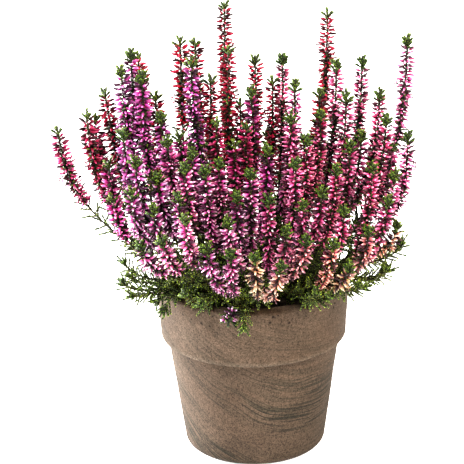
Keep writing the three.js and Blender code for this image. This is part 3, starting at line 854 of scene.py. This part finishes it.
# Painted shade low in the plant: buds are darker below about 230 mm up, most of all at about 155 mm.
PAINTED_SHADE_BY_HEIGHT = [(0.142, 0.95), (0.155, (0.8, 0.78, 0.76)), (0.19, (0.9, 0.89, 0.88)), (0.23, 1.0)]
LEAF_ALONG = [(0.0, (0.003, 0.008, 0.002)), (0.4, (0.044, 0.072, 0.016)), (1.0, (0.46, 0.56, 0.13))]
LEAF_BY_SHADE = [(0.0, (0.9, 0.45, 0.35)), (0.14, (0.5, 0.45, 0.4)), (0.5, 0.75), (0.75, 1.1),
                 (1.0, (2.4, 2.6, 1.3))]
LEAF_PATCHES = [(0.35, (0.8, 0.9, 0.95)), (0.7, (1.4, 1.3, 1.0))]
TIP_TINT = (0.48, 0.63, 0.20)
# Painted shade on the leaves among the buds, darker inside the spikes.
INNER_PAINTED_SHADE = (0.30, 0.32, 0.30)
BARK = [(0.3, (0.012, 0.016, 0.008)), (0.6, (0.045, 0.035, 0.02)), (0.8, (0.10, 0.065, 0.035))]
SOIL = [(0.3, (0.008, 0.005, 0.003)), (0.6, (0.035, 0.022, 0.013)), (0.8, (0.09, 0.06, 0.035))]
CLAY_DARK = (0.074, 0.050, 0.034)
CLAY_PALE = (0.108, 0.077, 0.055)
CLAY_STREAK = (0.029, 0.026, 0.018)
# Partly wear and partly a painted highlight on the collar's lower edge.
WORN_LIP_AND_HIGHLIGHT = (1.35, 1.5, 1.6)


def bud_colours(finish, along, colours):
    """From a dark stalk through the deep foot and the body of a bud to its pale end."""
    deep, main, pale = colours
    light = tuple(0.65 * a + 0.35 * b for a, b in zip(main, pale))
    return finish.ramp(along, BUD_STALK + [(0.24, deep), (0.42, main), (0.7, light), (0.84, pale)])


def bud_finish(name, fresh, faded):
    """Buds that differ from one to the next, and from fresh to faded by the shoot that they are on."""
    finish = Finish(name, Roughness=0.45)
    along = finish.attribute("along")
    shade = finish.attribute("shade")
    faded_buds = finish.ramp(shade, [(0.28, 0.25), (0.5, 1.0)])
    fade = finish.math("MULTIPLY", finish.attribute("fade"), faded_buds)
    colour = finish.mix(fade, bud_colours(finish, along, fresh), bud_colours(finish, along, faded))
    by_bud = finish.ramp(shade, BUD_BY_SHADE)
    by_shoot = finish.ramp(finish.attribute("hue"), BUD_BY_HUE)
    # Painted shade by height: buds low in the plant are darkened.
    by_height = finish.ramp(finish.axes(finish.place())["Z"], PAINTED_SHADE_BY_HEIGHT)
    veins = finish.noise(900.0, 2.0)
    finish.colour(finish.mix(0.25, finish.tinted(colour, by_bud, by_shoot, by_height), veins, "OVERLAY"))
    finish.bump(veins, 0.3, 0.2 * MM)
    return finish.material


def leaf_finish():
    """Scale leaves: dark at the foot and pale at the point, with a tint for a shoot's end and painted
    shade on those among its bloom's buds.
    """
    finish = Finish("scale_leaves", Roughness=0.55)
    by_leaf = finish.ramp(finish.attribute("shade"), LEAF_BY_SHADE)
    base = finish.tinted(finish.ramp(finish.attribute("along"), LEAF_ALONG), by_leaf)
    base = finish.mix(finish.attribute("tip"), base, finish.tinted(base, TIP_TINT))
    # Painted shade: leaves where the shoot is in bloom are darkened, as in the gaps between buds.
    base = finish.mix(finish.attribute("flowering"), base, finish.tinted(base, INNER_PAINTED_SHADE))
    finish.colour(finish.tinted(base, finish.ramp(finish.noise(60.0, 2.0), LEAF_PATCHES)))
    finish.bump(finish.noise(1200.0, 2.0), 0.3, 0.15 * MM)
    return finish.material


def stem_finish():
    finish = Finish("woody_stems", Roughness=0.75)
    bark = finish.noise(260.0, 4.0, finish.place((1, 1, 0.2)))
    finish.colour(finish.ramp(bark, BARK))
    finish.bump(bark, 0.5, 0.3 * MM)
    return finish.material


def soil_finish():
    finish = Finish("soil", Roughness=0.95)
    crumb = finish.noise(420.0, 5.0)
    finish.colour(finish.ramp(crumb, SOIL))
    finish.bump(crumb, 0.8, 1.0 * MM)
    return finish.material


def clay_streaks(finish, axes):
    """Where the streaks are: fine lines in bands that fall from the left, fewer of them higher up."""
    sag_rate = -21.0
    sag_depth = 0.016
    wander_depth = 0.035
    band_scale = (6, 6, 42)
    line_scale = (26, 26, 760)
    fall = finish.math("EXPONENT", finish.math("MULTIPLY", axes["X"], sag_rate))
    sag = finish.math("MULTIPLY", fall, sag_depth)
    wander = finish.math("MULTIPLY", finish.noise(9.0, 2.0), wander_depth)
    level = finish.math("SUBTRACT", finish.math("ADD", axes["Z"], wander), sag)
    bent = finish.add("ShaderNodeCombineXYZ", {"X": axes["X"], "Y": axes["Y"], "Z": level})
    bands = finish.noise(1.0, 3.0, finish.place(band_scale, bent))
    lines = finish.noise(1.0, 5.0, finish.place(line_scale, bent))
    bands = finish.ramp(bands, [(0.38, 0.12), (0.56, 1.0)])
    lines = finish.ramp(lines, [(0.42, 1.0), (0.55, 0.06)])
    by_height = finish.ramp(axes["Z"], [(0.0, 1.0), (0.055, 1.0), (0.082, 0.5), (0.139, 0.3)])
    return finish.tinted(bands, by_height, lines)


def pitted(finish, colour, where, height):
    """The clay's colour with dark pits in patches, most of them in a band under the rim."""
    cells = finish.add("ShaderNodeTexVoronoi", {"Vector": where, "Scale": 230.0})
    pits = finish.ramp(cells, [(0.0, 0.15), (0.2, 0.3), (0.3, 1.0)])
    by_rim = finish.ramp(height, [(0.122, 0.0), (0.129, 0.16), (0.137, 0.16), (0.139, 0.0)])
    patches = finish.mix(1.0, finish.noise(55.0, 2.0), by_rim, "ADD")
    patches = finish.ramp(patches, [(0.66, 0.0), (0.7, 1.0)])
    return finish.mix(patches, colour, finish.tinted(colour, pits))


def clay_finish():
    """Grey-brown clay with a fine grain, dark streaks, pits, a foot darkened partly as damp and partly as
    painted shade, and a collar edge paled partly by wear and partly as a painted highlight.
    """
    finish = Finish("marbled_clay", Roughness=0.88, Specular_IOR_Level=0.36)
    where = finish.place()
    axes = finish.axes(where)
    blotches = finish.ramp(finish.noise(17.0, 5.0), [(0.3, CLAY_DARK), (0.7, CLAY_PALE)])
    body = finish.mix(clay_streaks(finish, axes), blotches, CLAY_STREAK)
    speckle = finish.ramp(finish.noise(520.0, 2.0), [(0.38, 0.8), (0.62, 1.12)])
    grain = finish.noise(1100.0, 3.0)
    grain_tint = finish.ramp(grain, [(0.34, 0.42), (0.47, 1.0), (0.66, 1.3)])
    body = pitted(finish, finish.tinted(body, speckle, grain_tint), where, axes["Z"])
    # Darker low down and towards the right: partly a damp patch on the clay, partly painted shade low on
    # the pot and on the side away from the lights.
    damp_and_shade = finish.math("SUBTRACT", axes["Z"], finish.math("MULTIPLY", axes["X"], 0.6))
    damp_and_shade_tint = finish.ramp(damp_and_shade, [(0.0, 0.74), (0.03, 0.82), (0.045, 1.0)])
    # A thin band at the collar's lower edge made paler: partly wear, partly a painted highlight where the
    # edge catches the light.
    lip = finish.ramp(axes["Z"], [(0.0928, 1.0), (0.0931, WORN_LIP_AND_HIGHLIGHT), (0.0936, WORN_LIP_AND_HIGHLIGHT), (0.0941, 1.0)])
    finish.colour(finish.tinted(body, damp_and_shade_tint, lip))
    finish.bump(finish.math("ADD", grain, finish.noise(320.0, 3.0)), 0.5, 0.35 * MM)
    return finish.material


# ---- The pot and the soil ----
RIM_ROUND = 2.5
LIP_ROUND = 0.9
WALL_STEP = 2.2
POT_SEGMENTS = 184
DRILL_SEGMENTS = 32
DRILL_TURN = 0.05
DRILL_FROM = -5
DRILL_TO = 20
PLAIN_WITHIN = BODY_TOP_RADIUS - 20
PLAIN_BELOW = 4
HAND_MARKS = (0.25, 45)
WHEEL_MARKS = (0.12, 420)
CHIPS_FROM = POT_HEIGHT - 3
CHIP_SCALE = 260
CHIP_LEVEL = 0.42
CHIP_IN = 2.2
CHIP_DOWN = 1.6
SOIL_SEGMENTS = 128
SOIL_RING_STEP = 1.6
SOIL_LOWER = 1.0
HUMPS = (0.8, 70)
CRUMBS = (0.6, 260)


def corner(radius, x, z, first, last, steps):
    """The points of an arc about (x, z), from one angle to another."""
    angles = np.radians(np.linspace(first, last, steps + 1))
    return [(x + radius * math.cos(a), z + radius * math.sin(a)) for a in angles]


def stepped(profile, step):
    """The profile with points added so that none are further apart than a step."""
    points = [profile[0]]
    for a, b in zip(profile, profile[1:]):
        count = max(math.ceil(math.dist(a, b) / step), 1)
        for i in range(1, count + 1):
            points.append((a[0] + (b[0] - a[0]) * i / count, a[1] + (b[1] - a[1]) * i / count))
    return points


def turned(name, profile, segments):
    """A closed mesh turned from a profile that starts and ends on the axis, in millimetres."""
    rings = profile[1:-1]
    angles = 2 * math.pi * np.arange(segments) / segments
    verts = [(0, 0, profile[0][1])]
    for radius, z in rings:
        verts += [(radius * math.cos(a), radius * math.sin(a), z) for a in angles]
    verts.append((0, 0, profile[-1][1]))
    faces = []
    for i in range(segments):
        j = (i + 1) % segments
        faces.append((0, 1 + j, 1 + i))
        for ring in range(len(rings) - 1):
            low = 1 + ring * segments
            faces.append((low + i, low + j, low + segments + j, low + segments + i))
        last = 1 + (len(rings) - 1) * segments
        faces.append((last + i, last + j, len(verts) - 1))
    mesh = bpy.data.meshes.new(name)
    mesh.from_pydata([tuple(MM * c for c in vert) for vert in verts], [], faces)
    mesh.shade_smooth()
    return mesh


def put(name, mesh, material):
    obj = bpy.data.objects.new(name, mesh)
    bpy.context.scene.collection.objects.link(obj)
    mesh.materials.append(material)
    return obj


def relief(marks, place):
    """A hump or hollow at a place, by the height and the scale of its marks."""
    height, scale = marks
    return height * noise.noise(place * scale)


def uneven(mesh):
    """Wheel and hand marks: the wall wanders a little, and the rim's edge has small chips."""
    for vert in mesh.vertices:
        out = Vector((vert.co.x, vert.co.y, 0))
        if out.length < PLAIN_WITHIN * MM or vert.co.z < PLAIN_BELOW * MM:
            continue
        wander = relief(HAND_MARKS, vert.co) + relief(WHEEL_MARKS, Vector((0, 0, vert.co.z)))
        chip = max(noise.noise(vert.co * CHIP_SCALE) - CHIP_LEVEL, 0) if vert.co.z > CHIPS_FROM * MM else 0
        vert.co -= out.normalized() * (wander + CHIP_IN * chip) * MM
        vert.co.z -= CHIP_DOWN * chip * MM


def make_pot(material):
    """The pot, turned from the middle of its foot up the outside, over the rim and down the inside."""
    collar_foot = POT_HEIGHT - COLLAR_HEIGHT
    inner = RIM_RADIUS - RIM_WALL
    profile = [(0, 0)]
    profile += corner(FOOT_ROUND, FOOT_RADIUS - FOOT_ROUND, FOOT_ROUND, -90, 0, 9)
    profile += [(BODY_TOP_RADIUS - 0.1, collar_foot - 0.6), (BODY_TOP_RADIUS + 0.5, collar_foot)]
    profile += corner(LIP_ROUND, COLLAR_FOOT_RADIUS - LIP_ROUND, collar_foot + LIP_ROUND, -90, 0, 4)
    profile += corner(RIM_ROUND, RIM_RADIUS - RIM_ROUND, POT_HEIGHT - RIM_ROUND, 0, 90, 6)
    profile += corner(RIM_ROUND, inner + RIM_ROUND, POT_HEIGHT - RIM_ROUND, 90, 180, 5)
    profile = stepped(profile, WALL_STEP) + [(INNER_FOOT_RADIUS, FLOOR_THICKNESS), (0, FLOOR_THICKNESS)]
    mesh = turned("clay_pot", profile, POT_SEGMENTS)
    uneven(mesh)
    return put("clay_pot", mesh, material)


def cut_drains(pot):
    """Bores the drain holes through the pot's floor."""
    drill_profile = [(0, DRILL_FROM), (DRAIN_RADIUS, DRILL_FROM), (DRAIN_RADIUS, DRILL_TO), (0, DRILL_TO)]
    for i in range(DRAIN_COUNT):
        angle = 2 * math.pi * i / DRAIN_COUNT
        x = DRAIN_CIRCLE * math.cos(angle)
        y = DRAIN_CIRCLE * math.sin(angle)
        drill_mesh = turned("drill", drill_profile, DRILL_SEGMENTS)
        drill_turn = Matrix.Rotation(DRILL_TURN + angle, 4, "Z")
        drill_mesh.transform(Matrix.Translation((x * MM, y * MM, 0)) @ drill_turn)
        drill = bpy.data.objects.new("drill", drill_mesh)
        bpy.context.scene.collection.objects.link(drill)
        bore = pot.modifiers.new("bore", "BOOLEAN")
        bore.operation = "DIFFERENCE"
        bore.object = drill
        depsgraph = bpy.context.evaluated_depsgraph_get()
        bored = bpy.data.meshes.new_from_object(pot.evaluated_get(depsgraph))
        pot.modifiers.clear()
        pot.data = bored
        bpy.data.objects.remove(drill)


def make_soil(material):
    """The soil: a loose, humped top on a plain block that fills the pot."""
    foot = FLOOR_THICKNESS + CLEARANCE
    slope = (RIM_RADIUS - RIM_WALL - INNER_FOOT_RADIUS) / (POT_HEIGHT - RIM_ROUND - FLOOR_THICKNESS)
    top_radius = INNER_FOOT_RADIUS + slope * (SOIL_TOP - FLOOR_THICKNESS) - CLEARANCE
    profile = [(0, foot), (INNER_FOOT_RADIUS - CLEARANCE, foot), (top_radius, SOIL_TOP - 2)]
    rings = np.arange(top_radius - 1.5, 0.5, -SOIL_RING_STEP)
    profile += [(radius, SOIL_TOP) for radius in rings] + [(0, SOIL_TOP)]
    mesh = turned("potting_soil", profile, SOIL_SEGMENTS)
    for vert in mesh.vertices:
        if vert.co.z > (SOIL_TOP - 1) * MM:
            vert.co.z += (relief(HUMPS, vert.co) + relief(CRUMBS, vert.co) - SOIL_LOWER) * MM
    return put("potting_soil", mesh, material)


# ---- The scene: the camera's place is in millimetres and its angles in radians, the lamps' in metres ----
CAMERA_PLACE = (0, -2355.8, 1127.1)
CAMERA_DOWN = 0.3837
CAMERA_ACROSS = -0.0065
CAMERA_ROLL = -0.0205
LENS = 254.3
FLOOR_REACH = 6
LAMPS_AIM = (0, 0, 0.2)
LAMPS = [
    # name, place, power, size, colour
    ("key", (-0.9, -1.5, 2.7), 76, 0.5, (1, 1, 1)),
    ("side", (-2.2, 1.0, 0.6), 160, 0.9, (1, 1, 1)),
    ("fill", (1.7, -1.2, 2.1), 84, 1.2, (1, 0.89, 0.74)),
]
# The light from all round: stronger from the left than from the right.
SKY_STRENGTH = {"From Min": -1, "From Max": 0.1, "To Min": 1.25, "To Max": 0.26}


def make_camera():
    """A long lens from in front and above, turned a little across and rolled a little."""
    down, across, roll = CAMERA_DOWN, CAMERA_ACROSS, CAMERA_ROLL
    ahead = Vector((math.sin(across) * math.cos(down), math.cos(across) * math.cos(down), -math.sin(down)))
    level = Vector((math.cos(across), -math.sin(across), 0))
    rise = level.cross(ahead)
    right = math.cos(roll) * level + math.sin(roll) * rise
    up = -math.sin(roll) * level + math.cos(roll) * rise
    data = bpy.data.cameras.new("camera")
    data.lens = LENS
    data.clip_end = 20
    camera = bpy.data.objects.new("camera", data)
    turn = Matrix((right, up, -ahead)).transposed().to_4x4()
    camera.matrix_world = Matrix.Translation(Vector(CAMERA_PLACE) * MM) @ turn
    bpy.context.scene.collection.objects.link(camera)
    bpy.context.scene.camera = camera


def add_lamp(name, place, power, size, colour):
    data = bpy.data.lights.new(name, "AREA")
    data.energy = power
    data.color = colour
    data.size = size
    lamp = bpy.data.objects.new(name, data)
    lamp.location = place
    lamp.rotation_euler = (Vector(LAMPS_AIM) - Vector(place)).to_track_quat("-Z", "Y").to_euler()
    bpy.context.scene.collection.objects.link(lamp)


def make_floor():
    reach = FLOOR_REACH
    corners = [(-reach, -reach, 0), (reach, -reach, 0), (reach, reach, 0), (-reach, reach, 0)]
    floor_mesh = bpy.data.meshes.new("studio_floor")
    floor_mesh.from_pydata(corners, [], [(0, 1, 2, 3)])
    paper = Finish("studio_paper", Roughness=0.9, Emission_Strength=0.55)
    paper.colour(paper.ramp(paper.noise(3.0), [(0.0, 0.92), (1.0, 0.95)]))
    put("studio_floor", floor_mesh, paper.material)


def make_sky():
    """White light from all round, whose strength goes by how far left or right it comes from."""
    world = bpy.data.worlds.new("studio")
    world.use_nodes = True
    background = world.node_tree.nodes["Background"]
    background.inputs["Color"].default_value = (1, 1, 1, 1)
    sky = NodeTree(world.node_tree)
    across = sky.nodes.new("ShaderNodeTexCoord").outputs["Generated"]
    across = sky.add("ShaderNodeSeparateXYZ", {"Vector": across}).node.outputs["X"]
    strength = sky.add("ShaderNodeMapRange", {"Value": across, **SKY_STRENGTH})
    sky.links.new(strength, background.inputs["Strength"])
    bpy.context.scene.world = world


def make_studio():
    make_floor()
    make_sky()
    for lamp in LAMPS:
        add_lamp(*lamp)
    bpy.context.scene.view_settings.view_transform = "Standard"
    bpy.context.scene.view_settings.look = "High Contrast"


# ---- The pieces ----
HUE_SEED = SEED + 5
SPRAY_SEED_STEP = 97
LEAFY_FOLIAGE_SPACING = 1.15
LEAFY_FOLIAGE_SIZE = 1.08


def dress_sprays():
    """One fine piece for each spray and leafy shoot, in the place of its solid."""
    bud_finishes = {
        "crimson": bud_finish("crimson_buds", CRIMSON, VIOLET),
        "violet": bud_finish("violet_buds", VIOLET, PALE_VIOLET),
        "rose": bud_finish("rose_buds", ROSE, CREAM),
    }
    bud_finishes["leafy"] = bud_finishes["violet"]
    leaves = leaf_finish()
    stems = stem_finish()
    group = heather_growth()
    hues = seeded_random(HUE_SEED)
    counts = {}
    for number, spray in enumerate(lay_out()):
        variety = spray["variety"]
        counts[variety] = counts.get(variety, 0) + 1
        solid, fine = ("shoot", "twigs") if variety == "leafy" else ("spray", "heather")
        node = f"{variety}_{solid}_{counts[variety]:02d}"
        name = f"{variety}_{fine}_{counts[variety]:02d}"
        settings = {
            "Seed": SPRAY_SEED_STEP * number,
            "Bud spacing": BUD_SPACING_OF[variety] * MM,
            "Bud finish": bud_finishes[variety],
            "Stem finish": stems,
            "Leaf finish": leaves,
        }
        if variety == "leafy":
            settings["Foliage spacing"] = LEAFY_FOLIAGE_SPACING * MM
            settings["Foliage size"] = LEAFY_FOLIAGE_SIZE
        piece = grown(name, shoots_mesh(name, spray, hues), group, settings)
        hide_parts(node)
        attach(piece, "root")


def dress_pot():
    pot = make_pot(clay_finish())
    cut_drains(pot)
    soil = make_soil(soil_finish())
    for piece, node in ((pot, "pot"), (soil, "soil")):
        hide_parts(node)
        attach(piece, "root")


make_camera()
make_studio()
dress_pot()
dress_sprays()

bpy.context.view_layer.update()
